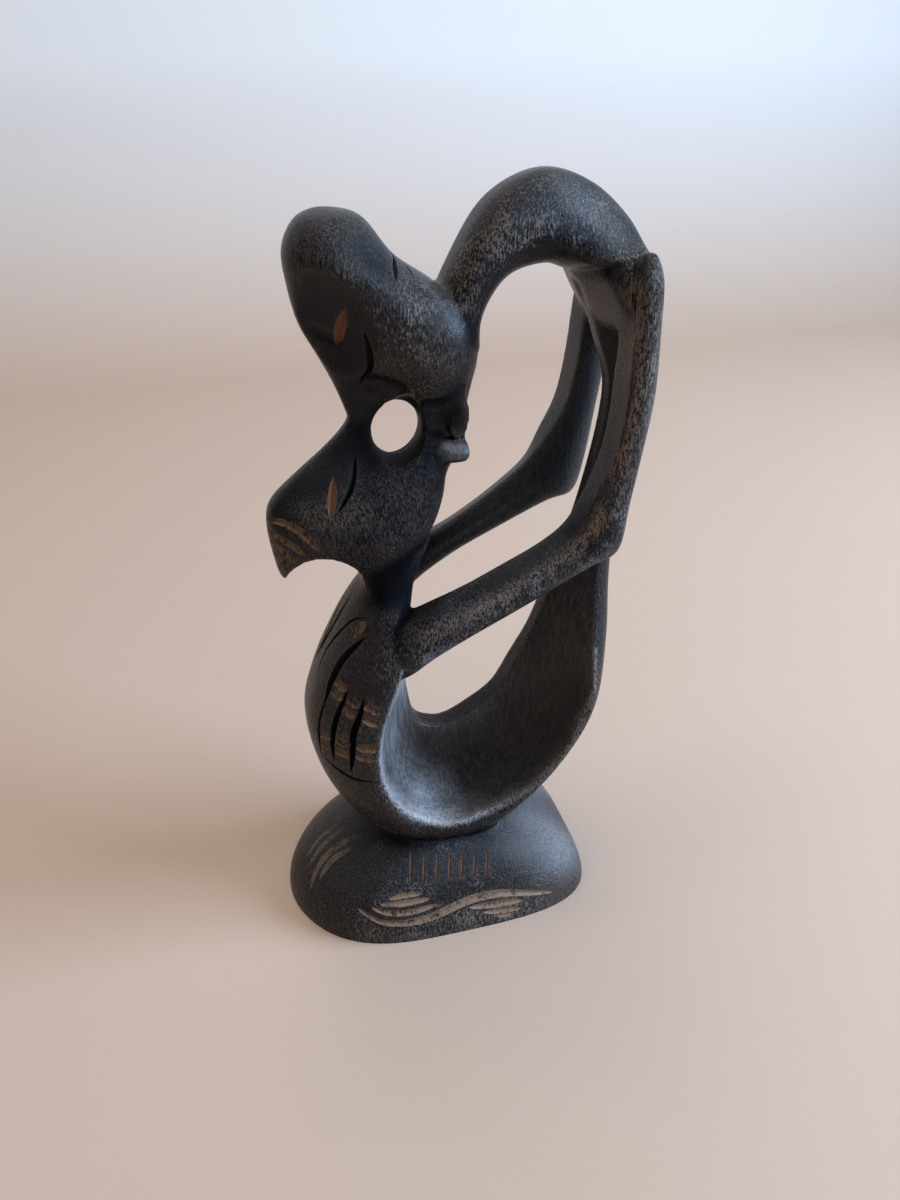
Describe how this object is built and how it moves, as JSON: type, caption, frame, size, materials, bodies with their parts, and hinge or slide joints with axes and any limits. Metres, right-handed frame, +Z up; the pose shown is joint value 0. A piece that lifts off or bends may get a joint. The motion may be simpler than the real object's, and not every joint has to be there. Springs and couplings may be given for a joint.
{
  "type": "carved wooden embracing couple figure",
  "caption": "Openwork carving of a couple whose bodies form a ring, faces touching and long arms round each other, rising from a low mound.",
  "frame": {"origin": "middle of the mound's flat underside", "axes": "+Z up; X along the ring of the two bodies with the heads towards -X; Y along the depth of the block, the carved front of the mound towards -Y"},
  "size_m": [0.1252, 0.0774, 0.2488],
  "materials": {
    "painted_wood": "worn black stain with a satin sheen, rubbed to grey brown on the ridges and cut through to tan wood in the gouge marks"
  },
  "bodies": {
    "root": {"embracing_couple": "painted_wood"}
  },
  "joints": []
}
